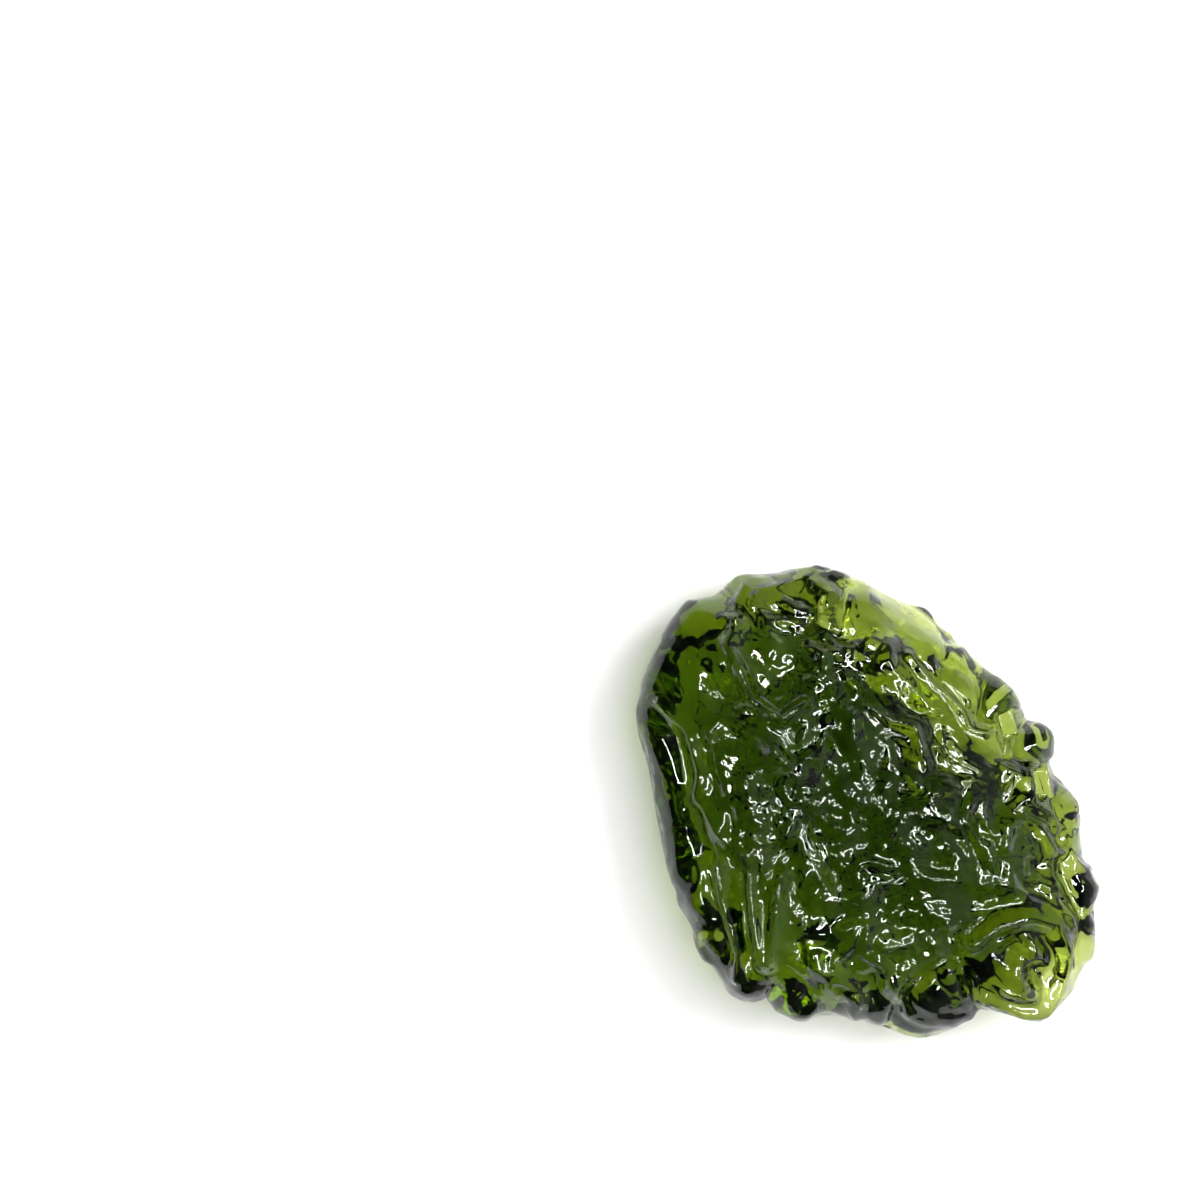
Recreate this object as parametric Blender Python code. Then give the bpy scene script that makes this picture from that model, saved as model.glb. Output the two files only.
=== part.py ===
"""A moldavite: one lump of bottle-green natural glass, flat like a thick pebble, with a skin of ridges, ledges and pits.

The stone is a single solid. It starts as a cut-up box that is blown up into a pebble, whose outline is drawn
through the points of OUTLINE. The grain of the skin, the hand-placed ridges and the pits are then raised on it,
and the underside is cut off level where the stone rests. Sizes are in millimetres, and the mesh is made in metres.
Seen from above, +X is to the right and +Y is up. The origin is on the rest plane, under the middle of the outline.
"""

import math

import bmesh
import bpy
import numpy as np
from mathutils import Vector, noise

MM = 0.001

# Driving dimensions
ABOVE_RIM = 6.4
BELOW_RIM = 4.8
REST_DEPTH = 5.1
OUTLINE = [
    (-3.4, 17.8), (-5.1, 17.6), (-7.3, 17.2), (-9.2, 17.2), (-10.2, 16.7), (-11.1, 15.8), (-12.6, 15.4),
    (-13.5, 15.2), (-14.4, 14.2), (-15.4, 12.7), (-16.3, 10.7), (-16.9, 9.2), (-17.1, 8.1), (-17.4, 6.8),
    (-17.3, 5.2), (-16.7, 3.3), (-16.2, 1.3), (-15.8, -1.0), (-15.3, -3.6), (-14.9, -5.5), (-14.4, -6.8),
    (-14.2, -7.7), (-13.3, -9.2), (-13.0, -10.6), (-12.4, -11.8), (-11.6, -12.5), (-10.9, -13.6),
    (-10.2, -14.6), (-8.8, -15.1), (-7.8, -14.9), (-6.6, -15.9), (-4.8, -16.6), (-3.6, -16.2), (-2.2, -16.2),
    (-0.4, -16.5), (1.3, -17.0), (3.6, -17.8), (5.8, -17.4), (7.7, -16.3), (9.0, -15.6), (10.8, -16.1),
    (12.8, -16.6), (13.8, -15.9), (14.9, -15.0), (15.9, -13.9), (16.2, -12.7), (17.1, -11.5), (17.4, -9.9),
    (17.1, -8.1), (17.4, -6.4), (17.1, -4.9), (16.4, -4.0), (16.2, -2.1), (15.8, 0.0), (14.9, 1.4),
    (13.9, 2.6), (14.1, 4.0), (13.5, 5.8), (12.0, 6.4), (11.3, 7.9), (10.2, 9.2), (8.9, 10.1), (6.9, 12.2),
    (5.6, 13.3), (4.7, 14.5), (2.9, 15.0), (0.9, 16.0), (-1.3, 17.2),
]
BODY_WAVES = 7
RIM_INSET = 0.3
MEAN_RADIUS = 17.5

# How finely the box is cut: across its length and width, and up its sides
CUTS_ACROSS = 32
CUTS_UP = 22

# Ridges (raised) and grooves (sunk) of the upper side: height, half width, and the points they run through
RIDGES = [
    (0.55, 0.9, [(-9.9, 13.5), (-10.5, 11.6), (-9.6, 9.8), (-8.8, 7.7), (-6.8, 6.4), (-5.1, 7.5)]),
    (0.60, 0.9, [(-13.5, 4.8), (-12.7, 2.0), (-13.3, 0.2)]),
    (0.50, 0.9, [(-11.4, -4.4), (-10.9, -7.4), (-10.1, -10.4), (-9.7, -12.8)]),
    (0.40, 0.9, [(-6.7, -5.1), (-7.3, -8.5), (-7.8, -12.0)]),
    (0.50, 0.9, [(9.7, -3.0), (9.9, -1.5), (10.8, -0.8), (12.2, -1.5), (13.3, -3.0), (14.4, -3.6)]),
    (0.40, 0.9, [(-0.4, 7.4), (1.5, 6.2), (3.0, 5.9), (3.5, 4.1)]),
    (0.45, 0.9, [(2.8, 11.0), (4.7, 9.0), (6.9, 6.8), (8.6, 5.6)]),
    (0.75, 1.0, [(7.3, -10.2), (9.2, -8.6), (11.4, -8.1), (13.3, -8.5), (14.1, -10.4), (14.4, -13.0),
                 (12.6, -14.9), (10.3, -15.3), (8.8, -14.9)]),
    (0.40, 0.9, [(2.8, -15.6), (0.9, -11.9), (-0.7, -11.0), (-0.4, -8.9)]),
    (-0.60, 1.0, [(-14.4, 5.0), (-13.6, 2.4), (-12.8, -1.0), (-12.2, -3.6)]),
    (-0.50, 1.1, [(2.7, -13.8), (4.1, -12.5), (5.9, -11.3), (6.8, -12.0), (7.2, -13.7)]),
    (-0.45, 0.9, [(14.6, -4.4), (14.9, -6.2), (15.2, -8.7), (14.8, -11.5)]),
]

# Round swellings (raised) and pits (sunk) of the upper side: height, radius and place
SPOTS = [
    (-0.9, 3.2, (-6.6, 10.5)),
    (-0.6, 1.4, (10.2, -10.6)),
    (-0.7, 1.4, (12.2, -12.3)),
    (-0.6, 1.2, (10.2, 6.0)),
    (-0.6, 1.2, (12.9, 1.7)),
    (-0.5, 2.2, (2.8, 13.3)),
    (0.9, 2.4, (4.7, -14.7)),
    (0.5, 1.6, (10.3, 2.8)),
    (0.9, 2.6, (11.1, -11.9)),
    (0.5, 1.3, (10.2, 8.4)),
    (0.5, 1.4, (13.1, 4.8)),
    (0.5, 1.3, (16.7, -6.5)),
    (0.6, 1.5, (-9.0, -13.7)),
]

# Where the stone is thin: share of the height left out, half width, edge softness, and the line that it follows
THIN_BELOW = (0.35, 1.6, 3.0, [(-5.8, 17.4), (-0.6, 15.2), (4.7, 11.4), (9.2, 6.9), (10.7, 2.4), (9.9, 0.2)])
THIN_ABOVE = (0.40, 0.6, 2.6, [(16.9, -3.7), (17.2, -7.3), (17.2, -10.0), (16.4, -12.6), (13.8, -16.2)])

# Smooth parts of the upper side: how smooth, radius and place
CALM = [(0.8, 3.2, (-15.2, 11.4)), (0.8, 2.6, (-15.9, 6.9)), (0.8, 2.6, (-13.3, 14.0)), (0.7, 2.0, (4.7, -14.7))]

# Each grain of the skin: direction in degrees, stretch along it, noise seed, and where it shows
GRAINS = [
    (-75, 1.9, 10, [(7.0, (-11.1, -7.4)), (5.0, (-13.3, -1.4))]),
    (0, 1.9, 20, [(6.0, (2.4, -6.6))]),
    (-42, 1.7, 30, [(10.0, (2.4, 9.2))]),
]
GRAIN_ELSEWHERE = 0.35
FOOT_HEIGHT = 1.0
FOOT_RADIUS = 4.5

GLASS_GREEN = (0.10, 0.16, 0.03, 1.0)


def ease(low, high, x):
    """0 up to low, 1 from high, and a smooth step between them."""
    t = np.clip((x - low) / (high - low), 0, 1)
    return t * t * (3 - 2 * t)


def closed_curve(corners, steps=12):
    """Points of a smooth closed curve (Catmull-Rom) through the corners."""
    corners = np.array(corners)
    t = np.linspace(0, 1, steps, endpoint=False)[:, None]
    stretches = []
    for i in range(len(corners)):
        before, here, after, beyond = (corners[(i + k) % len(corners)] for k in (-1, 0, 1, 2))
        curve = 2 * here + (after - before) * t + (2 * before - 5 * here + 4 * after - beyond) * t**2
        stretches.append((curve + (3 * here - before - 3 * after + beyond) * t**3) / 2)
    return np.concatenate(stretches)


def outline_radii(count=720):
    """The outline's radius and its smoothed radius, at count directions from -180 degrees round to 180."""
    curve = closed_curve(OUTLINE)
    directions = np.linspace(-math.pi, math.pi, count, endpoint=False)
    turn = np.arctan2(curve[:, 1], curve[:, 0])
    order = np.argsort(turn)
    radius = np.interp(directions, turn[order], np.hypot(curve[:, 0], curve[:, 1])[order], period=2 * math.pi)
    waves = np.fft.rfft(radius)
    waves[BODY_WAVES:] = 0
    return directions, radius, np.fft.irfft(waves, count)


def at(directions, values, turn):
    """values, known round the circle, read at the angles in turn."""
    return np.interp(turn, directions, values, period=2 * math.pi)


def noise_at(points, size, seed):
    """Smooth noise from about -1 to 1, whose features are about size across."""
    shift = Vector((17.31, 7.77, 3.13)) * seed
    return np.array([noise.noise(Vector(p) / size + shift) for p in points.tolist()])


def bend(points, size, amount, seed):
    """The points, pushed about by up to amount, so that a pattern read there winds."""
    return points + amount * np.stack([noise_at(points, size, seed + k) for k in (100, 200, 300)], axis=1)


def bowls(points, size, sharpness, seed):
    """Shallow bowls about size across, from 0 at their middles to about 0.6 on the ridges between them."""
    shift = Vector((2.7, 15.3, 4.1)) * seed
    nearest = np.array([noise.voronoi(Vector(p) / size + shift)[0] for p in points.tolist()])
    return -np.log(np.exp(-sharpness * nearest**2).sum(axis=1)) / sharpness


def turned(points, degrees, stretch):
    """The points in axes turned about Z, and pressed together along the first, which stretches what is read there."""
    a = math.radians(degrees)
    along = (points[:, 0] * math.cos(a) + points[:, 1] * math.sin(a)) / stretch
    across = points[:, 1] * math.cos(a) - points[:, 0] * math.sin(a)
    return np.stack([along, across, points[:, 2]], axis=1)


def near(points, place, radius):
    """1 over a place, falling to 0 within about twice the radius."""
    return np.exp(-((points[:, 0] - place[0]) ** 2 + (points[:, 1] - place[1]) ** 2) / radius**2)


def distance_to(points, line):
    """How far each point is from a line of straight stretches, seen from above."""
    flat, line = points[:, :2], np.array(line)
    nearest = np.full(len(flat), np.inf)
    for start, end in zip(line[:-1], line[1:]):
        run = end - start
        share = np.clip((flat - start) @ run / (run @ run), 0, 1)
        nearest = np.minimum(nearest, np.linalg.norm(flat - start - share[:, None] * run, axis=1))
    return nearest


def grain(points, seed):
    """One grain of the skin: bowls with ridges between them, and low ledges."""
    winding = bend(bend(points, 4.0, 1.1, seed + 1), 1.6, 0.35, seed + 2)
    hollows = 1.2 * (bowls(winding, 3.4, 14.0, seed + 3) - 0.3)
    slope = noise_at(winding, 2.6, seed + 4)
    ledges = sum(0.2 * ease(level - 0.1, level + 0.1, slope) for level in (-0.32, -0.12, 0.10, 0.30)) - 0.4
    return hollows + ledges


def relief(points):
    """How far the skin stands out of the pebble at each point."""
    upper = ease(-1.0, 1.0, points[:, 2])
    total, weights = 0, 0
    for degrees, stretch, seed, places in GRAINS:
        weight = sum(near(points, place, radius) for radius, place in places)
        if seed == GRAINS[-1][2]:
            weight = weight + GRAIN_ELSEWHERE
        total = total + weight * grain(turned(points, degrees, stretch), seed)
        weights = weights + weight
    smooth = np.clip(sum(share * near(points, place, radius) for share, radius, place in CALM), 0, 0.8)
    height = total / weights * (1.5 - 0.5 * upper) * (1 - smooth * upper)
    for rise, half_width, line in RIDGES:
        height = height + upper * rise * np.exp(-((distance_to(points, line) / half_width) ** 2))
    for rise, radius, place in SPOTS:
        height = height + upper * rise * near(points, place, radius) ** 1.5
    foot = (1 - upper) * FOOT_HEIGHT * near(points, (0, 0), FOOT_RADIUS)
    return height + 0.9 * noise_at(points, 9.0, 3) + foot


def thinned(points):
    """The heights, pressed towards the rim where the stone is thin."""
    z = points[:, 2].copy()
    for (share, half_width, softness, line), side in ((THIN_BELOW, z < 0), (THIN_ABOVE, z > 0)):
        inside = 1 - ease(half_width, half_width + softness, distance_to(points, line))
        z[side] *= (1 - share * inside)[side]
    return z


def cut_box(across, up):
    """A box with its top and bottom cut into squares, and its sides cut into rows."""
    mesh = bmesh.new()
    bmesh.ops.create_cube(mesh, size=2)
    for axis, pieces in enumerate((across, across, up)):
        long_edges = [e for e in mesh.edges if abs(e.verts[0].co[axis] - e.verts[1].co[axis]) > 1]
        bmesh.ops.subdivide_edges(mesh, edges=long_edges, cuts=pieces - 1)
    return mesh


def move_points(mesh, places):
    """Puts each vertex of the mesh at its row of places."""
    for vertex, place in zip(mesh.verts, places):
        vertex.co = place
    mesh.normal_update()


def pebble(box):
    """Each box vertex's place on the plain pebble, and its share of the way out to the rim."""
    ball = np.tan(np.array([v.co for v in box.verts]) * math.pi / 4)
    ball /= np.linalg.norm(ball, axis=1)[:, None]
    turn = np.arctan2(ball[:, 1], ball[:, 0])
    fall = np.arccos(np.clip(ball[:, 2], -1, 1))

    steps = np.linspace(0, math.pi, 2001)
    out = np.sin(steps) ** 0.8
    height = np.abs(np.cos(steps)) ** 0.75 * np.where(steps < math.pi / 2, ABOVE_RIM, -BELOW_RIM)
    walked = np.append(0, np.cumsum(np.hypot(np.diff(out) * MEAN_RADIUS, np.diff(height))))
    out = np.interp(fall / math.pi * walked[-1], walked, out)
    height = np.interp(fall / math.pi * walked[-1], walked, height)

    directions, radius, smooth_radius = outline_radii()
    body = at(directions, smooth_radius, turn) - RIM_INSET
    lobe_height = 0.9 * np.sin(3 * turn + 1) + 0.8 * np.sin(7 * turn + 2)
    lobes = ease(0.55, 1.0, out) * np.exp(-(((height - lobe_height) / 2.4) ** 2))
    reach = (body + (at(directions, radius, turn) - body) * lobes) * out
    return np.stack([reach * np.cos(turn), reach * np.sin(turn), height], axis=1), out


def drawn_to_outline(points, out, sectors):
    """The points, moved in or out so that in each sector the furthest one is on the outline."""
    directions, radius, _ = outline_radii()
    middles = (np.arange(sectors) + 0.5) / sectors * 2 * math.pi - math.pi
    for _ in range(2):
        turn = np.arctan2(points[:, 1], points[:, 0])
        sector = ((turn + math.pi) / (2 * math.pi) * sectors).astype(int) % sectors
        furthest = np.zeros(sectors)
        np.maximum.at(furthest, sector, np.hypot(points[:, 0], points[:, 1]))
        change = at(directions, radius, middles) / furthest
        change = sum(share * np.roll(change, k) for k, share in ((-1, 0.25), (0, 0.5), (1, 0.25)))
        points[:, :2] *= (1 + (at(middles, change, turn) - 1) * ease(0.5, 0.9, out))[:, None]
    return points


def make_stone():
    """The whole stone, as one object that rests on its level spot."""
    box = cut_box(CUTS_ACROSS, CUTS_UP)
    points, out = pebble(box)
    points[:, 2] = thinned(points)
    move_points(box, points)
    outward = np.array([v.normal for v in box.verts])
    points = drawn_to_outline(points + outward * relief(points)[:, None], out, sectors=3 * CUTS_ACROSS)
    points[:, :2] -= (points.min(axis=0) + points.max(axis=0))[:2] / 2
    points[:, 2] = np.maximum(points[:, 2] + REST_DEPTH, 0)
    move_points(box, points * MM)

    mesh = bpy.data.meshes.new("moldavite")
    box.to_mesh(mesh)
    box.free()
    mesh.shade_smooth()
    return bpy.data.objects.new("moldavite", mesh)


def glass_material():
    """Bottle-green glass, smooth and see-through."""
    material = bpy.data.materials.new("bottle_green_glass")
    material.use_nodes = True
    shader = material.node_tree.nodes["Principled BSDF"]
    shader.inputs["Base Color"].default_value = GLASS_GREEN
    shader.inputs["Roughness"].default_value = 0.05
    shader.inputs["Metallic"].default_value = 0.0
    shader.inputs["IOR"].default_value = 1.49
    shader.inputs["Transmission Weight"].default_value = 1.0
    return material


def main():
    for thing in list(bpy.data.objects):
        bpy.data.objects.remove(thing)
    parts = bpy.data.collections.new("moldavite")
    bpy.context.scene.collection.children.link(parts)
    stone = make_stone()
    stone.data.materials.append(glass_material())
    parts.objects.link(stone)


main()
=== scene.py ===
# %% [markdown]
# # A moldavite in Blender
#
# Moldavite is natural glass: bottle green, see-through, and wrinkled like a walnut. It could be
# sculpted by hand, but then a groove is hard to move later. We make it in code, as one closed mesh, so
# that each lobe and each groove is a line that we can change. The lesson goes from the plain pebble to
# the skin, then to the glass, and then to the studio around it.
#
# We start with the fixed frame, which holds the plain solid that our stone stands for.

import math

import bmesh
import bpy
import numpy as np
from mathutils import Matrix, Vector, noise


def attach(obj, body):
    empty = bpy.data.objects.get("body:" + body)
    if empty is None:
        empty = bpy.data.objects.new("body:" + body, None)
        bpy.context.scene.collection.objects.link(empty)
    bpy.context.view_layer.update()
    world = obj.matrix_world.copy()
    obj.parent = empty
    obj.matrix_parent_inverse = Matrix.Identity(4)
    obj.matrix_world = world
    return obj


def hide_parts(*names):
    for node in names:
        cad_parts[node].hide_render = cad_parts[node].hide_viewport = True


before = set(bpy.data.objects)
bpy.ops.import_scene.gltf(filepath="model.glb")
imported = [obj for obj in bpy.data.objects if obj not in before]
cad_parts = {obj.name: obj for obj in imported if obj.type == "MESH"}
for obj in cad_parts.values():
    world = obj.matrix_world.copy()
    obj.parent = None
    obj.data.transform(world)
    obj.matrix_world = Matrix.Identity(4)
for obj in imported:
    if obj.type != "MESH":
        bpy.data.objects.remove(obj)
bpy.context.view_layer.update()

# %% [markdown]
# ## The outline
#
# Seen from above, the stone is a rounded kite with a lobed edge, and the lobes make it this stone and
# no other. Random noise would give lobes in other places, so the corners of `OUTLINE` are given one by
# one, one or two for each lobe. The stone's sizes are in millimetres, with +X to the right and +Y up as
# seen from above.

# %% The corners of the outline
MM = 0.001
OUTLINE = [
    (-3.4, 17.8), (-5.1, 17.6), (-7.3, 17.2), (-9.2, 17.2), (-10.2, 16.7), (-11.1, 15.8), (-12.6, 15.4),
    (-13.5, 15.2), (-14.4, 14.2), (-15.4, 12.7), (-16.3, 10.7), (-16.9, 9.2), (-17.1, 8.1), (-17.4, 6.8),
    (-17.3, 5.2), (-16.7, 3.3), (-16.2, 1.3), (-15.8, -1.0), (-15.3, -3.6), (-14.9, -5.5), (-14.4, -6.8),
    (-14.2, -7.7), (-13.3, -9.2), (-13.0, -10.6), (-12.4, -11.8), (-11.6, -12.5), (-10.9, -13.6),
    (-10.2, -14.6), (-8.8, -15.1), (-7.8, -14.9), (-6.6, -15.9), (-4.8, -16.6), (-3.6, -16.2), (-2.2, -16.2),
    (-0.4, -16.5), (1.3, -17.0), (3.6, -17.8), (5.8, -17.4), (7.7, -16.3), (9.0, -15.6), (10.8, -16.1),
    (12.8, -16.6), (13.8, -15.9), (14.9, -15.0), (15.9, -13.9), (16.2, -12.7), (17.1, -11.5), (17.4, -9.9),
    (17.1, -8.1), (17.4, -6.4), (17.1, -4.9), (16.4, -4.0), (16.2, -2.1), (15.8, 0.0), (14.9, 1.4),
    (13.9, 2.6), (14.1, 4.0), (13.5, 5.8), (12.0, 6.4), (11.3, 7.9), (10.2, 9.2), (8.9, 10.1), (6.9, 12.2),
    (5.6, 13.3), (4.7, 14.5), (2.9, 15.0), (0.9, 16.0), (-1.3, 17.2),
]
print("The outline has", len(OUTLINE), "corners")

# %% [markdown]
# ## A smooth curve through the corners
#
# Glass that has been etched has no sharp corners, so a smooth curve runs through ours. It is of the kind
# that passes through every point that it is given. We then read how far out it lies in each direction. A
# second reading keeps only the broadest waves, and gives the stone's body under its lobes.

# %% The outline's radius in each direction
BODY_WAVES = 7


def closed_curve(corners, steps=12):
    """Points of a smooth closed curve that passes through all the corners."""
    corners = np.array(corners)
    t = np.linspace(0, 1, steps, endpoint=False)[:, None]
    stretches = []
    for i in range(len(corners)):
        before, here, after, beyond = (corners[(i + k) % len(corners)] for k in (-1, 0, 1, 2))
        curve = 2 * here + (after - before) * t + (2 * before - 5 * here + 4 * after - beyond) * t**2
        stretches.append((curve + (3 * here - before - 3 * after + beyond) * t**3) / 2)
    return np.concatenate(stretches)


def outline_radii(count=720):
    """The outline's radius and its smoothed radius, at count directions from -180 degrees round to 180."""
    curve = closed_curve(OUTLINE)
    directions = np.linspace(-math.pi, math.pi, count, endpoint=False)
    turn = np.arctan2(curve[:, 1], curve[:, 0])
    order = np.argsort(turn)
    reach = np.hypot(curve[:, 0], curve[:, 1])
    radius = np.interp(directions, turn[order], reach[order], period=2 * math.pi)
    waves = np.fft.rfft(radius)
    waves[BODY_WAVES:] = 0
    return directions, radius, np.fft.irfft(waves, count)


DIRECTIONS, RADIUS, SMOOTH_RADIUS = outline_radii()
print("Outline radius from", RADIUS.min().round(1), "to", RADIUS.max().round(1), "mm")

# %% [markdown]
# ## A box cut into small squares
#
# The skin's relief needs points that lie close together and evenly all round. A ready-made ball crowds
# its points at two poles, and the wrinkles would pinch there. So we cut up a box, whose squares stay
# nearly square when the box is blown up later.

# %% Cut up a box
BOX_SIDE = 2
PIECES_ACROSS = 150
PIECES_UP = 86


def cut_box(across, up):
    """A box with its top and bottom cut into squares, and its sides cut into rows."""
    mesh = bmesh.new()
    bmesh.ops.create_cube(mesh, size=BOX_SIDE)
    for axis, pieces in enumerate((across, across, up)):
        runs = [(e, abs(e.verts[0].co[axis] - e.verts[1].co[axis])) for e in mesh.edges]
        long_edges = [e for e, run in runs if run > BOX_SIDE / 2]
        bmesh.ops.subdivide_edges(mesh, edges=long_edges, cuts=pieces - 1)
    return mesh


box = cut_box(PIECES_ACROSS, PIECES_UP)
print("The box has", len(box.verts), "points and", len(box.faces), "faces")

# %% [markdown]
# ## The pebble
#
# Without its wrinkles the stone is a flat pebble: two domes, the upper one higher, that meet in a
# rounded edge. We blow the box up into a ball, and then slide each point along the pebble's profile, by
# the same share of the way from top to bottom as on the ball. That keeps the points evenly spread. Only
# the edge has the outline's lobes, in a band that rises and falls on its way round, as it does on a
# natural lump.

# %% Press the ball into a pebble
ABOVE_RIM = 6.3
BELOW_RIM = 4.8
ABOVE_POWER = 0.95
BELOW_POWER = 0.60
OUT_POWER = 0.80
MEAN_RADIUS = 17.5
PROFILE_STEPS = 4001
RIM_INSET = 0.3
LOBES_FROM = 0.55
LOBE_BAND = 2.4
# The band's waves: the height of each, how many there are round the edge, and where they start.
BAND_WAVES = [(0.9, 3, 1), (0.8, 7, 2)]


def ease(low, high, x):
    """0 up to low, 1 from high, and a smooth step between them."""
    t = np.clip((x - low) / (high - low), 0, 1)
    return t * t * (3 - 2 * t)


def at(directions, values, turn):
    """values, known round the circle, read at the angles in turn."""
    return np.interp(turn, directions, values, period=2 * math.pi)


def profile():
    """The profile from top to bottom: its share of the way out, its height, and its length so far."""
    steps = np.linspace(0, math.pi, PROFILE_STEPS)
    out = np.sin(steps) ** OUT_POWER
    level = np.abs(np.cos(steps))
    above = ABOVE_RIM * level**ABOVE_POWER
    below = -BELOW_RIM * level**BELOW_POWER
    height = np.where(steps < math.pi / 2, above, below)
    walked = np.append(0, np.cumsum(np.hypot(np.diff(out) * MEAN_RADIUS, np.diff(height))))
    return out, height, walked


def pebble(box):
    """Each box vertex's place on the plain pebble, and its share of the way out to the rim."""
    # The tangent spreads the squares evenly over the ball.
    ball = np.tan(np.array([v.co for v in box.verts]) * math.pi / 4)
    ball /= np.linalg.norm(ball, axis=1)[:, None]
    turn = np.arctan2(ball[:, 1], ball[:, 0])
    fall = np.arccos(np.clip(ball[:, 2], -1, 1)) / math.pi

    profile_out, profile_height, walked = profile()
    out = np.interp(fall * walked[-1], walked, profile_out)
    height = np.interp(fall * walked[-1], walked, profile_height)

    body = at(DIRECTIONS, SMOOTH_RADIUS, turn) - RIM_INSET
    band_height = sum(rise * np.sin(count * turn + start) for rise, count, start in BAND_WAVES)
    lobes = ease(LOBES_FROM, 1, out) * np.exp(-(((height - band_height) / LOBE_BAND) ** 2))
    reach = (body + (at(DIRECTIONS, RADIUS, turn) - body) * lobes) * out
    return np.stack([reach * np.cos(turn), reach * np.sin(turn), height], axis=1), out


points, out = pebble(box)
print("The pebble is", np.ptp(points, axis=0).round(1), "mm")

# %% [markdown]
# ## Slopes below, for the dark edges
#
# From above, the stone is nearly black along its left and lower edges, and in a few spots at the right.
# Its hidden side does that: where it slopes up to the edge at about 45 degrees, a ray from above is
# reflected sideways inside the glass, as in a prism, and never reaches the white table. Dark paint would
# give the same picture from one side only, so we cut these slopes into the underside instead.

# %% Slope the underside up to the edge
# Each slope: how far in from the edge it starts, its radius, and its middle.
SLOPES_BELOW = [
    (0.0, 4.5, (-15.5, 2.0)), (0.0, 6.5, (-14.0, -6.0)), (0.0, 5.2, (-8.5, -14.5)), (0.6, 5.0, (4.2, -15.5)),
    (0.0, 2.8, (10.6, 8.4)), (0.0, 2.6, (13.4, 4.6)), (2.0, 3.4, (11.8, -11.8)),
]
SLOPE_START = 0.2
SLOPE_FALL = 1.1
SLOPE_SPREAD = 1.6


def near(points, place, radius):
    """1 over a place, falling to 0 within about twice the radius."""
    return np.exp(-((points[:, 0] - place[0]) ** 2 + (points[:, 1] - place[1]) ** 2) / radius**2)


def sloping(points):
    """1 where the underside slopes evenly up towards the edge, falling to 0 elsewhere."""
    share = sum(near(points, place, radius) for _, radius, place in SLOPES_BELOW)
    return np.clip(SLOPE_SPREAD * share, 0, 1)


def sloped(points, out):
    """The heights, with the underside cut to even slopes up towards the edge, which shut out the light."""
    z = points[:, 2].copy()
    for from_edge, radius, place in SLOPES_BELOW:
        share = np.clip(SLOPE_SPREAD * near(points, place, radius), 0, 1)
        slope = -SLOPE_START - SLOPE_FALL * np.maximum((1 - out) * MEAN_RADIUS - from_edge, 0)
        z += share * (np.maximum(z, slope) - z)
    return z


before_slopes = points[:, 2].copy()
points[:, 2] = sloped(points, out)
print("The slopes raise the underside by up to", (points[:, 2] - before_slopes).max().round(2), "mm")

# %% [markdown]
# ## Thin places, for the bright band
#
# The upper right edge glows yellow-green, because the glass is thin there and little of the light is
# lost in it. We press the underside up towards the rim along a line below that band, and press the
# lower part of the right edge down from above. The rim itself stays, so that the outline doesn't
# change.

# %% Press the thin places together
# Each thin place: the share of the height that it takes away, its half width, its soft edge, and its line.
THIN_BELOW = (0.78, 2.1, 1.4, [(-0.2, 12.6), (2.8, 10.2), (5.6, 6.8), (6.6, 2.8)])
THIN_ABOVE = (0.40, 0.6, 2.6, [(16.9, -3.7), (17.2, -7.3), (17.2, -10.0), (16.4, -12.6), (13.8, -16.2)])
RIM_KEPT = 0.9
KEPT_BAND = (0.82, 0.94)


def distance_to(points, line):
    """How far each point is from a line of straight stretches, seen from above."""
    flat, line = points[:, :2], np.array(line)
    nearest = np.full(len(flat), np.inf)
    for start, end in zip(line[:-1], line[1:]):
        run = end - start
        share = np.clip((flat - start) @ run / (run @ run), 0, 1)
        nearest = np.minimum(nearest, np.linalg.norm(flat - start - share[:, None] * run, axis=1))
    return nearest


def thinned(points, out):
    """The heights, pressed towards the rim where the stone is thin, all but the edge itself."""
    z = points[:, 2].copy()
    for (share, half_width, softness, line), side in ((THIN_BELOW, z < 0), (THIN_ABOVE, z > 0)):
        inside = 1 - ease(half_width, half_width + softness, distance_to(points, line))
        inside *= 1 - RIM_KEPT * ease(*KEPT_BAND, out)
        z[side] *= (1 - share * inside)[side]
    return z


def move_points(mesh, places):
    """Puts each vertex of the mesh at its row of places."""
    for vertex, place in zip(mesh.verts, places):
        vertex.co = place
    mesh.normal_update()


points[:, 2] = thinned(points, out)
move_points(box, points)
outward = np.array([v.normal for v in box.verts])
print("The pebble goes from", points[:, 2].min().round(2), "to", points[:, 2].max().round(2), "mm")

# %% [markdown]
# ## Patterns for the skin
#
# Acid in the ground has etched the glass into bowls, ledges and winding crests, which all run one way
# like the grain of wood. Plain noise looks like clouds, so we build patterns of our own from it:
# points are pushed about before a pattern is read there, which makes it wind, and the axes are turned
# and stretched, which makes it run one way.

# %% Noise, bends, bowls and crests
NOISE_SHIFT = Vector((17.31, 7.77, 3.13))
BOWL_SHIFT = Vector((2.7, 15.3, 4.1))
BEND_SEEDS = (100, 200, 300)


def noise_at(points, size, seed):
    """Smooth noise from about -1 to 1, whose features are about size across."""
    shift = NOISE_SHIFT * seed
    return np.array([noise.noise(Vector(p) / size + shift) for p in points.tolist()])


def bend(points, size, amount, seed):
    """The points, pushed about by up to amount, so that a pattern read there winds."""
    return points + amount * np.stack([noise_at(points, size, seed + k) for k in BEND_SEEDS], axis=1)


def bowls(points, size, sharpness, seed):
    """Shallow bowls about size across, from 0 at their middles to about 0.6 on the ridges between them."""
    shift = BOWL_SHIFT * seed
    nearest = np.array([noise.voronoi(Vector(p) / size + shift)[0] for p in points.tolist()])
    return -np.log(np.exp(-sharpness * nearest**2).sum(axis=1)) / sharpness


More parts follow.
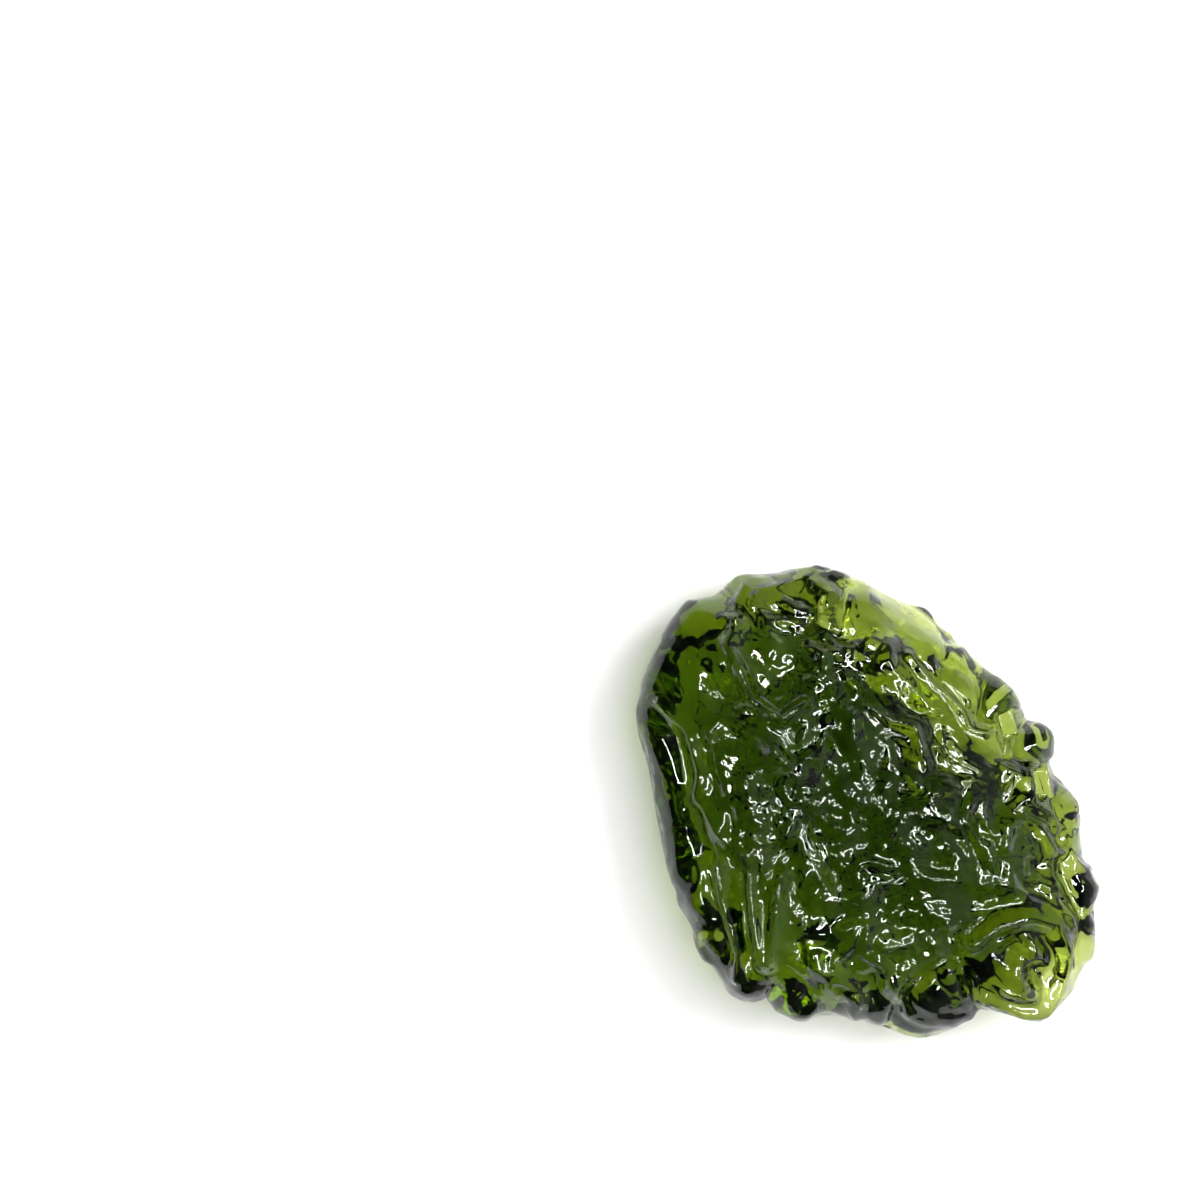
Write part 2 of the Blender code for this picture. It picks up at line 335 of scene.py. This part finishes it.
def crests(points, size, roundness, seed):
    """Winding ridges along the lines where smooth noise is zero: 0 on the ridges and below 0 elsewhere."""
    return -np.sqrt(noise_at(points, size, seed) ** 2 + roundness**2)


def turned(points, degrees, stretch):
    """The points in axes turned about Z, with the first one pressed together, to stretch a pattern."""
    a = math.radians(degrees)
    along = (points[:, 0] * math.cos(a) + points[:, 1] * math.sin(a)) / stretch
    across = points[:, 1] * math.cos(a) - points[:, 0] * math.sin(a)
    return np.stack([along, across, points[:, 2]], axis=1)


print("Each pattern is read at", len(points), "points")

# %% [markdown]
# ## One grain of the skin
#
# On the real skin the bowls are about 3 mm across, the crests between them are 1 to 2 mm apart, and the
# surface steps down in low ledges. We add four patterns at those sizes: bowls, ledges, long crests and
# small lumps. They are geometry and not a bump in the material, because clear glass shows its shape
# through the light it bends.

# %% Add the four patterns up
# Each push: the size of its waves and how far it goes.
PUSHES = [(4.0, 1.0), (1.5, 0.35)]
BOWL_SIZE = 2.9
BOWL_SHARPNESS = 12.0
BOWL_RISE = 1.3
BOWL_LEVEL = 0.3
LEDGE_SIZE = 2.1
LEDGE_STEPS = (-0.25, 0.0, 0.25)
LEDGE_SOFTNESS = 0.09
LEDGE_RISE = 0.22
LEDGE_SINK = 0.35
CREST_SIZE = 1.7
CREST_ROUNDNESS = 0.10
CREST_RISE = 0.9
CREST_LIFT = 0.25
LUMP_SIZE = 0.9
LUMP_RISE = 0.06


def ledges(slope):
    """Low steps, one at each of the given levels of the slope."""
    steps = [ease(level - LEDGE_SOFTNESS, level + LEDGE_SOFTNESS, slope) for level in LEDGE_STEPS]
    return sum(LEDGE_RISE * step for step in steps) - LEDGE_SINK


def grain(points, seed):
    """One grain of the skin, as a height at each point."""
    for number, (size, amount) in enumerate(PUSHES, start=1):
        points = bend(points, size, amount, seed + number)
    hollows = BOWL_RISE * (bowls(points, BOWL_SIZE, BOWL_SHARPNESS, seed + 3) - BOWL_LEVEL)
    low_steps = ledges(noise_at(points, LEDGE_SIZE, seed + 4))
    long_crests = CREST_RISE * crests(points, CREST_SIZE, CREST_ROUNDNESS, seed + 5) + CREST_LIFT
    small_lumps = LUMP_RISE * noise_at(points, LUMP_SIZE, seed + 6)
    return hollows + low_steps + long_crests + small_lumps


print("The grain has bowls", BOWL_SIZE, "mm, ledges", LEDGE_SIZE, "mm and crests", CREST_SIZE, "mm in size")

# %% [markdown]
# ## Where the grain runs, and where it is calm
#
# The grain runs down the left flank, across the lower middle, and slantwise elsewhere, and some places
# are almost smooth. One noise for the whole stone couldn't do that. So there are three grains, each
# with places where it counts most, and we blend them by these weights. The slopes below are calm,
# because a rough slope would let the light through.

# %% Blend the grains into a skin
# Each grain: its direction in degrees, its stretch, its seed, its weight everywhere, and its places.
GRAINS = [
    (-75, 1.7, 10, 0, [(6.0, (-11.1, -7.4)), (4.0, (-13.3, -1.4))]),
    (0, 2.0, 20, 0, [(3.5, (1.0, -7.2)), (3.5, (6.5, -6.6))]),
    (-42, 1.25, 30, 0.35, [(10.0, (2.4, 9.2))]),
]
GRAIN_BELOW = 1.7
# Each calm place: how much of the grain it takes away, its radius, and its middle.
CALM = [
    (0.8, 3.2, (-15.2, 11.4)), (0.8, 2.6, (-15.9, 6.9)), (0.8, 2.6, (-13.3, 14.0)), (0.7, 2.0, (4.7, -14.7)),
    (0.7, 1.6, (-15.4, 2.6)), (0.6, 2.4, (-6.8, 10.2)), (0.85, 2.2, (3.6, 12.0)), (0.85, 2.2, (6.6, 8.6)),
    (0.85, 2.2, (8.2, 5.0)), (0.7, 1.8, (8.6, 1.6)), (0.85, 1.8, (10.4, 8.4)), (0.85, 1.6, (13.3, 4.8)),
    (0.7, 2.0, (0.2, 14.6)),
]
MOST_CALM = 0.85
RIM_CALM = 0.65
RIM_BAND = (0.84, 0.97)
SLOPE_CALM = 0.7
SIDE_BLEND = 1.0


def upper_side(points):
    """1 on the upper side, 0 on the underside, and a smooth step at the edge between them."""
    return ease(-SIDE_BLEND, SIDE_BLEND, points[:, 2])


def skin(points, out):
    """How far the grain stands out at each point: less in calm places, on the edge and on the slopes."""
    upper = upper_side(points)
    total, weights = 0, 0
    for degrees, stretch, seed, elsewhere, places in GRAINS:
        weight = sum(near(points, place, radius) for radius, place in places) + elsewhere
        total = total + weight * grain(turned(points, degrees, stretch), seed)
        weights = weights + weight
    smooth = sum(share * near(points, place, radius) for share, radius, place in CALM)
    smooth = np.clip(smooth, 0, MOST_CALM)
    smooth = 1 - (1 - smooth) * (1 - RIM_CALM * ease(*RIM_BAND, out))
    smooth = 1 - (1 - smooth) * (1 - SLOPE_CALM * sloping(points) * (1 - upper))
    return total / weights * (GRAIN_BELOW - (GRAIN_BELOW - 1) * upper) * (1 - smooth)


grain_height = skin(points, out)
print("Grain from", grain_height.min().round(2), "to", grain_height.max().round(2), "mm")

# %% [markdown]
# ## Ridges and grooves
#
# A curved edge round a bowl at the top left, steep ridges down the left flank, a rim round the lump at
# the lower right: the eye knows this stone by them. Noise never puts them in the right place, so each
# is a line of a few given points, with a height, or a depth if it is below zero. The
# cross-section is a bell, which blends into the skin on both sides.

# %% Ridges and grooves, given one by one
# Each ridge or groove: how far it rises, its half width, and the line it follows.
RIDGES = [
    (0.80, 0.50, [(-9.9, 13.5), (-10.5, 11.6), (-9.6, 9.8), (-8.8, 7.7), (-6.8, 6.4), (-5.1, 7.5)]),
    (0.60, 0.50, [(-13.5, 4.8), (-12.7, 2.0), (-13.3, 0.2)]),
    (0.75, 0.55, [(-11.4, -4.3), (-10.9, -7.3), (-10.1, -10.3), (-9.7, -12.8)]),
    (0.65, 0.50, [(-9.2, -3.6), (-9.0, -7.3), (-8.4, -11.5)]),
    (0.60, 0.50, [(-6.7, -5.1), (-7.3, -8.5), (-7.8, -12.0)]),
    (0.45, 0.40, [(9.7, -3.0), (9.9, -1.5), (10.8, -0.8), (12.2, -1.5), (13.3, -3.0), (14.4, -3.6)]),
    (0.35, 0.35, [(-0.4, 7.3), (1.5, 6.2), (3.0, 5.8), (3.5, 4.0)]),
    (0.40, 0.40, [(2.8, 11.0), (4.7, 9.0), (6.9, 6.8), (8.6, 5.5)]),
    (0.90, 0.65, [(7.3, -10.2), (9.2, -8.6), (11.4, -8.1), (13.3, -8.5), (14.1, -10.3), (14.4, -13.0),
                  (12.6, -14.8), (10.3, -15.3), (8.8, -14.8)]),
    (0.35, 0.45, [(2.8, -15.6), (0.9, -11.8), (-0.7, -10.9), (-0.4, -8.8)]),
    (0.40, 0.45, [(-2.7, -11.5), (-1.6, -10.3), (-1.2, -8.8), (-2.2, -9.2)]),
    (0.35, 0.40, [(-15.6, 7.6), (-14.7, 6.5), (-13.3, 5.0)]),
    (0.35, 0.45, [(-9.2, 16.1), (-9.9, 15.1), (-10.3, 13.8), (-10.9, 13.7)]),
    (0.30, 0.40, [(-4.9, 17.0), (-6.9, 16.3), (-8.1, 15.8), (-8.7, 14.8)]),
    (-0.90, 0.70, [(-15.0, 5.0), (-14.2, 2.4), (-13.2, -1.0), (-12.6, -3.6)]),
    (-0.80, 0.50, [(-12.3, -3.6), (-12.0, -6.6), (-10.9, -9.2), (-10.6, -11.5)]),
    (-0.60, 0.45, [(-9.9, -5.0), (-9.6, -8.5), (-9.1, -11.5)]),
    (-0.35, 0.35, [(3.6, 11.0), (5.4, 9.0), (7.1, 7.6)]),
    (-0.60, 0.55, [(1.7, -16.9), (2.7, -13.8), (4.1, -12.4), (5.9, -11.3), (6.8, -12.0), (7.2, -13.7),
                   (8.1, -15.4)]),
    (-0.45, 0.50, [(14.6, -4.3), (14.9, -6.2), (15.6, -7.7), (15.8, -9.6), (15.6, -11.5), (14.6, -13.0)]),
]


def ridges(points):
    """How far the ridges rise and the grooves sink at each point."""
    raised = 0
    for rise, half_width, line in RIDGES:
        raised = raised + rise * np.exp(-((distance_to(points, line) / half_width) ** 2))
    return raised


raised = ridges(points)
print("Ridges and grooves from", raised.min().round(2), "to", raised.max().round(2), "mm")

# %% [markdown]
# ## Lumps, pits and hollows
#
# The round forms work the same way, with one point each: the bowl at the top left, the lump with two
# pits at the lower right, a low dome at the bottom, and the knobs of the right edge. Below, a few
# hollows let more light through where the stone is bright, two lumps hold light back, and a broad low
# swelling is the foot that the stone rests on.

# %% Lumps and hollows, given one by one
# Each lump above and each hollow below: its height or depth, its radius, and its middle.
# A height below zero is a pit, and a depth below zero is a lump.
LUMPS_ABOVE = [
    (-0.9, 3.2, (-6.6, 10.5)), (-1.1, 1.1, (10.2, -10.6)), (-1.2, 1.2, (12.2, -12.3)),
    (-0.5, 2.2, (2.8, 13.3)), (0.3, 2.4, (4.7, -14.7)), (0.5, 1.3, (10.3, 2.8)), (0.9, 2.6, (11.1, -11.8)),
    (2.0, 1.5, (10.6, 8.3)), (2.0, 1.4, (13.5, 4.8)), (0.8, 1.2, (16.7, -6.5)), (0.7, 1.3, (-9.0, -13.7)),
]
LUMP_STEEPNESS = 1.5
HOLLOWS_BELOW = [
    (1.6, 2.2, (7.5, 3.2)), (2.6, 1.6, (-3.6, -10.6)), (1.2, 1.2, (16.3, -10.0)), (1.2, 1.2, (12.9, -15.7)),
    (1.8, 1.2, (-12.0, -10.0)), (-1.0, 1.4, (9.8, 7.9)), (-1.0, 1.4, (12.6, 4.4)),
]
FOOT_PLACE = (-0.8, -0.8)
FOOT_HEIGHT = 1.6
FOOT_RADIUS = 3.0


def forms(points, raised):
    """How far the listed forms stand out at each point, with the ridges already raised."""
    for rise, radius, place in LUMPS_ABOVE:
        raised = raised + rise * near(points, place, radius) ** LUMP_STEEPNESS
    lowered = FOOT_HEIGHT * near(points, FOOT_PLACE, FOOT_RADIUS)
    for depth, radius, place in HOLLOWS_BELOW:
        lowered = lowered - depth * near(points, place, radius)
    upper = upper_side(points)
    return raised * upper + lowered * (1 - upper)


form_height = forms(points, raised)
print("Forms from", form_height.min().round(2), "to", form_height.max().round(2), "mm")

# %% [markdown]
# ## Raising the skin
#
# The grain, the forms and one slow swell are added up, and each point moves by the sum along its own
# normal, which works on the steep sides as well as on top. The grain is weaker beside the ridges, so
# that they stay clear lines and don't drown in wrinkles.

# %% Add grain, swell and forms
BESIDE = 0.9
PLAINNESS = 0.6
SWELL_SIZE = 9.0
SWELL_RISE = 0.9
SWELL_SEED = 3


def beside_ridges(points):
    """1 on the listed ridges and grooves, falling to 0 within about twice BESIDE."""
    nearest = np.min([distance_to(points, line) for _, _, line in RIDGES], axis=0)
    return np.exp(-((nearest / BESIDE) ** 2))


plain = beside_ridges(points) * upper_side(points)
swell = SWELL_RISE * noise_at(points, SWELL_SIZE, SWELL_SEED)
height = grain_height * (1 - PLAINNESS * plain) + swell + form_height
stone_points = points + outward * height[:, None]
print("The skin moves by", height.min().round(2), "to", height.max().round(2), "mm")

# %% [markdown]
# ## Back to the outline
#
# The relief has moved the edge a little. We could leave out the relief at the edge, but a smooth rim on
# a wrinkled stone looks moulded. So we look at the stone in narrow sectors, as in a cake, and draw each
# one in or out until its furthest point is on the outline again. The middle of the stone doesn't move.

# %% Draw each sector back to the outline
SECTORS = 240
DRAWING_ROUNDS = 3
# The shares of each sector and of its two neighbours on both sides in the sector's change.
NEIGHBOUR_SHARES = (0.1, 0.2, 0.4, 0.2, 0.1)
DRAWN_BAND = (0.5, 0.9)


def drawn_to_outline(points, out):
    """The points, moved in or out so that in each sector the furthest one is on the outline."""
    middles = (np.arange(SECTORS) + 0.5) / SECTORS * 2 * math.pi - math.pi
    for _ in range(DRAWING_ROUNDS):
        turn = np.arctan2(points[:, 1], points[:, 0])
        sector = ((turn + math.pi) / (2 * math.pi) * SECTORS).astype(int) % SECTORS
        furthest = np.zeros(SECTORS)
        np.maximum.at(furthest, sector, np.hypot(points[:, 0], points[:, 1]))
        change = at(DIRECTIONS, RADIUS, middles) / furthest
        change = sum(share * np.roll(change, k) for k, share in enumerate(NEIGHBOUR_SHARES, start=-2))
        points[:, :2] *= (1 + (at(middles, change, turn) - 1) * ease(*DRAWN_BAND, out))[:, None]
    return points


stone_points = drawn_to_outline(stone_points, out)
print("The stone now reaches", np.hypot(stone_points[:, 0], stone_points[:, 1]).max().round(1), "mm out")

# %% [markdown]
# ## Two small windows
#
# At the right edge two patches shine brightest of all, like small window panes. Light goes straight
# through glass whose two faces are flat and level, so we press a small flat rectangle into the top and
# a slightly larger one into the underside below it.

# %% Press the windows in
# Each window: its middle, its half sizes, its turn in degrees, and the levels of its top and bottom.
WINDOWS = [
    ((10.2, 5.9), (0.55, 0.9), 15, 2.9, -1.3),
    ((12.8, 1.6), (0.6, 1.0), 10, 2.9, -1.4),
]
WINDOW_EDGE = 0.25


def with_windows(points):
    """The points, with the small flat windows pressed into both sides."""
    wider_below = np.where(points[:, 2] > 0, 0, WINDOW_EDGE)
    for place, half_sizes, degrees, top, bottom in WINDOWS:
        from_window = np.abs(turned(points - (*place, 0), degrees, 1))
        share = 1
        for axis, half in enumerate(half_sizes):
            share = share * (1 - ease(half, half + WINDOW_EDGE, from_window[:, axis] - wider_below))
        points[:, 2] += share * (np.where(points[:, 2] > 0, top, bottom) - points[:, 2])
    return points


stone_points = with_windows(stone_points)
print("Windows pressed in:", len(WINDOWS))

# %% [markdown]
# ## Setting the stone down
#
# A stone rests on whatever sticks out lowest. We lower ours into the table a little and flatten what
# would go through it, which gives the small level spot that it lies on. Then the points go into the
# mesh, and the frame is told what the piece rides on and which solid it replaces.

# %% Make the stone
REST_DEPTH = 5.2

stone_points[:, :2] -= (stone_points.min(axis=0) + stone_points.max(axis=0))[:2] / 2
stone_points[:, 2] = np.maximum(stone_points[:, 2] + REST_DEPTH, 0)
move_points(box, stone_points * MM)

stone_mesh = bpy.data.meshes.new("moldavite_stone")
box.to_mesh(stone_mesh)
box.free()
stone_mesh.shade_smooth()
stone = bpy.data.objects.new("moldavite_stone", stone_mesh)
bpy.context.scene.collection.objects.link(stone)
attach(stone, "root")
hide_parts("moldavite")
print("The stone spans", stone_points.min(axis=0).round(2), "to", stone_points.max(axis=0).round(2), "mm")

# %% [markdown]
# ## The glass
#
# Moldavite is green all through, so thin glass is bright yellow-green and thick glass is nearly black.
# A green surface colour would tint both alike. Instead the surface is clear and smooth, and bends light
# as natural glass does, and the colour comes from what the glass absorbs in each metre of a ray's way:
# least of all green, a little more red, and most of the blue. Its sharp highlights need a roughness of
# zero.

# %% Glass that takes its colour from its depth
# What is absorbed in a metre, of red, green and blue.
ABSORBED_PER_METRE = (213.0, 170.0, 545.0)
GLASS_IOR = 1.49


def moldavite_glass():
    """Green glass that takes its colour from its depth."""
    material = bpy.data.materials.new("moldavite_glass")
    material.use_nodes = True
    nodes, links = material.node_tree.nodes, material.node_tree.links
    shader = nodes["Principled BSDF"]
    shader.inputs["Base Color"].default_value = (1.0, 1.0, 1.0, 1.0)
    shader.inputs["Roughness"].default_value = 0.0
    shader.inputs["IOR"].default_value = GLASS_IOR
    shader.inputs["Transmission Weight"].default_value = 1.0
    depth = nodes.new("ShaderNodeVolumeAbsorption")
    most = max(ABSORBED_PER_METRE)
    depth.inputs["Color"].default_value = [1 - a / most for a in ABSORBED_PER_METRE] + [1.0]
    depth.inputs["Density"].default_value = most
    links.new(depth.outputs["Volume"], nodes["Material Output"].inputs["Volume"])
    return material


stone_mesh.materials.append(moldavite_glass())
print("The stone's material:", stone_mesh.materials[0].name)

# %% [markdown]
# ## The table
#
# The stone lies on plain white. The table is one large square, dull, so that it mirrors nothing, and a
# hair below the stone, so that the two surfaces don't flicker where they touch.

# %% A plain white table
TABLE_SHADE = 0.92
TABLE_ROUGHNESS = 0.9
TABLE_HALF_SIZE = 1.5
TABLE_GAP = 0.00005


def table_material():
    """A dull white that mirrors nothing."""
    material = bpy.data.materials.new("white_table")
    material.use_nodes = True
    shader = material.node_tree.nodes["Principled BSDF"]
    shader.inputs["Base Color"].default_value = (TABLE_SHADE, TABLE_SHADE, TABLE_SHADE, 1.0)
    shader.inputs["Roughness"].default_value = TABLE_ROUGHNESS
    shader.inputs["Specular IOR Level"].default_value = 0.0
    return material


def make_floor():
    """The white table under the stone."""
    floor_mesh = bpy.data.meshes.new("table")
    grid = bmesh.new()
    bmesh.ops.create_grid(grid, x_segments=1, y_segments=1, size=TABLE_HALF_SIZE)
    grid.to_mesh(floor_mesh)
    grid.free()
    floor_mesh.materials.append(table_material())
    floor = bpy.data.objects.new("table", floor_mesh)
    floor.location.z = -TABLE_GAP
    bpy.context.scene.collection.objects.link(floor)


make_floor()
print("The table is", 2 * TABLE_HALF_SIZE, "m wide")

# %% [markdown]
# ## The camera
#
# The camera looks straight down. It isn't right over the stone but a little to the left and up, so that
# the stone comes to lie in the lower right of the view, and a little of its left flank shows. The lens
# is worked out from the width that the view should cover at the height of the stone's rim.

# %% A camera straight above
# The width of the view and the stone's place in it are in millimetres, and the heights are in metres.
VIEW_WIDTH = 90.0
STONE_FROM_MIDDLE = (20.06, -15.15)
CAMERA_HEIGHT = 0.226
RIM_LEVEL = 0.006
SENSOR = 36.0
NEAREST_SEEN = 0.01
FURTHEST_SEEN = 10


def add_camera():
    """A camera that looks straight down, with the stone off the middle of its view."""
    camera = bpy.data.cameras.new("camera")
    camera.sensor_width = SENSOR
    camera.lens = SENSOR * (CAMERA_HEIGHT - RIM_LEVEL) / (VIEW_WIDTH * MM)
    camera.clip_start = NEAREST_SEEN
    camera.clip_end = FURTHEST_SEEN
    viewer = bpy.data.objects.new("camera", camera)
    viewer.location = (-STONE_FROM_MIDDLE[0] * MM, -STONE_FROM_MIDDLE[1] * MM, CAMERA_HEIGHT)
    bpy.context.scene.collection.objects.link(viewer)
    bpy.context.scene.camera = viewer
    return camera


camera = add_camera()
print("The lens is", round(camera.lens, 1), "mm")

# %% [markdown]
# ## The surroundings
#
# Glass shows what is around it. An evenly white room would make the whole skin milky, so the
# surroundings go from nearly black at the left to grey at the right, as beside a window. The left flank
# then stays dark, and the right side gets a soft sheen.

# %% Dark at the left, pale at the right
# Each step of the shades: its place from left, 0, to right, 1, and its level. The two ends come first.
WORLD_LEVELS = ((0.0, 0.03), (1.0, 0.5), (0.5, 0.05), (0.8, 0.3))
WORLD_STRENGTH = 1.0


def make_world():
    """A soft surrounding light, dark at the left and pale at the right."""
    world = bpy.data.worlds.new("studio")
    bpy.context.scene.world = world
    world.use_nodes = True
    nodes, links = world.node_tree.nodes, world.node_tree.links
    direction = nodes.new("ShaderNodeTexCoord")
    split = nodes.new("ShaderNodeSeparateXYZ")
    ramp = nodes.new("ShaderNodeValToRGB")
    elements = ramp.color_ramp.elements
    for number, (position, level) in enumerate(WORLD_LEVELS):
        element = elements[number] if number < len(elements) else elements.new(position)
        element.position = position
        element.color = (level, level, level, 1)
    centre = nodes.new("ShaderNodeMapRange")
    centre.inputs["From Min"].default_value = -1
    centre.inputs["From Max"].default_value = 1
    links.new(direction.outputs["Generated"], split.inputs["Vector"])
    links.new(split.outputs["X"], centre.inputs["Value"])
    links.new(centre.outputs["Result"], ramp.inputs["Fac"])
    links.new(ramp.outputs["Color"], nodes["Background"].inputs["Color"])
    nodes["Background"].inputs["Strength"].default_value = WORLD_STRENGTH


make_world()
print("The surroundings have", len(WORLD_LEVELS), "steps of grey")

# %% [markdown]
# ## Two soft lights
#
# A key light from the upper right shines through the glass and lights the table behind it, and a large
# soft light overhead fills the shadows. Both are hidden from reflections, because a broad white panel
# mirrored in the skin would cover its green.

# %% The key light and the fill light
# Each light: its name, its place in metres, the length of its side, and its power in watts.
SOFT_LIGHTS = [("key", (0.60, 0.30, 0.76), 0.44, 8.0), ("fill", (0.08, 0.04, 0.9), 0.8, 9.0)]
STONE_MIDDLE = (0, 0, 0.005)


def add_lamp(name, place, size, power):
    """A rectangular light that shines straight down."""
    light = bpy.data.lights.new(name, "AREA")
    light.shape = "RECTANGLE"
    light.size, light.size_y = size
    light.energy = power
    lamp = bpy.data.objects.new(name, light)
    lamp.location = place
    bpy.context.scene.collection.objects.link(lamp)
    return lamp


def add_soft_lights():
    """The soft lights, turned towards the stone and left out of its reflections."""
    for name, place, side, power in SOFT_LIGHTS:
        lamp = add_lamp(name, place, (side, side), power)
        lamp.rotation_euler = (Vector(place) - Vector(STONE_MIDDLE)).to_track_quat("Z", "Y").to_euler()
        lamp.visible_glossy = False
        print("Light:", name, "at", place, "m,", power, "W")


add_soft_lights()

# %% [markdown]
# ## A ring of light for the shine
#
# The real skin is covered in thin white lines and small loops: each bump mirrors the lamps, bent round
# its top. A round lamp would leave dots and a panel would leave patches, but a thin ring leaves loops.
# Ours hangs overhead, open at the lower left. It is made of short straight lights that show in
# reflections and don't light the table or shine through the glass.

# %% The ring of lights
RING_MIDDLE = (0.04, -0.03, 0.45)
RING_RADIUS = 0.16
RING_WIDTH = 0.030
RING_ARC = (-90, 200)
RING_PARTS = 14
RING_RADIANCE = 62.0


def add_ring():
    """A thin ring of lights overhead, seen only in the shine. It gives the length of one of them."""
    step = math.radians(RING_ARC[1] - RING_ARC[0]) / RING_PARTS
    length = RING_RADIUS * step
    power = RING_RADIANCE * math.pi * RING_WIDTH * length
    for number in range(RING_PARTS):
        turn = math.radians(RING_ARC[0]) + step * (number + 0.5)
        spread = Vector((math.cos(turn), math.sin(turn), 0)) * RING_RADIUS
        lamp = add_lamp(f"ring_{number}", Vector(RING_MIDDLE) + spread, (RING_WIDTH, length), power)
        lamp.rotation_euler = (0, 0, turn)
        lamp.visible_diffuse = False
        lamp.visible_transmission = False
    return length


part_length = add_ring()
print("The ring has", RING_PARTS, "parts,", round(part_length / MM, 1), "mm long")

# %% [markdown]
# ## Light paths and colours
#
# A ray can bounce many times inside a wrinkled lump of glass before it gets out. With too few bounces
# it is cut short and leaves a black speck. The plain view transform keeps the greens as saturated as in
# a photograph.

# %% Bounces and view transform
LIGHT_BOUNCES = 16

scene = bpy.context.scene
scene.view_settings.view_transform = "Standard"
scene.cycles.max_bounces = LIGHT_BOUNCES
scene.cycles.transmission_bounces = LIGHT_BOUNCES
print("A ray may bounce", LIGHT_BOUNCES, "times")
